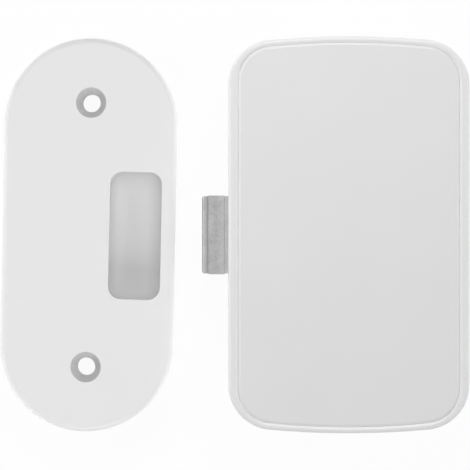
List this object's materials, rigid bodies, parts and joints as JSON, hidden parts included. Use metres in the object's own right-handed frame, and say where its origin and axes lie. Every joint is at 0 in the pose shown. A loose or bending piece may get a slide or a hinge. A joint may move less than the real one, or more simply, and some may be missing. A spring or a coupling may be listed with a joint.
{
  "type": "smart cabinet lock",
  "caption": "Surface-mount cabinet lock: rounded white case with a flat cover and a motor-driven sliding bolt, with its stadium-shaped strike lying beside it.",
  "frame": {"origin": "centre of the lock body's flat back face", "axes": "+Z out of the lock's front, +X away from the strike, against the bolt's throw, +Y along the body's length; the lock and its strike lie on their backs"},
  "size_m": [0.0952, 0.0802, 0.02],
  "materials": {
    "white_shell": "satin moulded ABS",
    "white_cover": "satin moulded ABS",
    "white_strike": "satin moulded ABS",
    "cast_zinc": "raw die-cast zinc",
    "magnet_nickel": "nickel plate",
    "guide_plastic": "moulded acetal",
    "screw_steel": "zinc plated",
    "pinion_brass": "machined",
    "shaft_steel": "ground",
    "gearbox_brass": "plain",
    "can_steel": "nickel plate",
    "end_cap_plastic": "moulded nylon",
    "terminal_brass": "tinned",
    "clamp_steel": "zinc plated",
    "board_laminate": "solder mask",
    "radio_shield": "tin plate",
    "chip_black": "moulded epoxy",
    "buzzer_black": "moulded",
    "sensor_black": "moulded epoxy",
    "switch_body": "moulded",
    "button_white": "moulded",
    "cell_wrap": "metallised sleeve, plain",
    "contact_nickel": "nickel plated spring steel",
    "lead_red": "soft insulation",
    "lead_black": "soft insulation"
  },
  "bodies": {
    "lock": {"housing": "white_shell", "strike_plate": "white_strike", "bolt_guide_plate": "guide_plastic", "guide_plate_screws": "screw_steel", "motor_clamp_screws": "screw_steel", "board_screws": "screw_steel", "gearbox": "gearbox_brass", "motor_can": "can_steel", "motor_end_cap": "end_cap_plastic", "motor_terminals": "terminal_brass", "motor_clamp": "clamp_steel", "circuit_board": "board_laminate", "radio_module": "radio_shield", "board_chips": "chip_black", "buzzer": "buzzer_black", "position_sensor": "sensor_black", "pairing_switch": "switch_body", "battery_inner": "cell_wrap", "battery_outer": "cell_wrap", "contact_positive": "contact_nickel", "contact_negative": "contact_nickel", "contact_link": "contact_nickel", "motor_lead_left": "lead_red", "battery_lead_positive": "lead_red", "motor_lead_right": "lead_black", "battery_lead_negative": "lead_black"},
    "bolt": {"latch_bolt": "cast_zinc", "bolt_magnet": "magnet_nickel"},
    "pinion": {"drive_pinion": "pinion_brass", "gearbox_shaft": "shaft_steel"},
    "cover": {"front_cover": "white_cover"},
    "button": {"pairing_button": "button_white"}
  },
  "joints": [
    {"name": "bolt_slide", "type": "slide", "parent": "lock", "child": "bolt", "axis": [1, 0, 0], "range_m": [0, 0.0055]},
    {"name": "pinion_turn", "type": "hinge", "parent": "lock", "child": "pinion", "pos_m": [-0.0115, 0.0045, 0.01165], "axis": [0, -1, 0], "range_deg": [0, 106]},
    {"name": "cover_lift", "type": "slide", "parent": "lock", "child": "cover", "axis": [0, 0, 1], "range_m": [0, 0.03]},
    {"name": "button_press", "type": "slide", "parent": "lock", "child": "button", "axis": [0, 0, -1], "range_m": [0, 0.00025], "stiffness_N_per_m": 800}
  ],
  "couplings": [
    {"joint": "pinion_turn", "follows": "bolt_slide", "rad_per_m": 333.33}
  ]
}
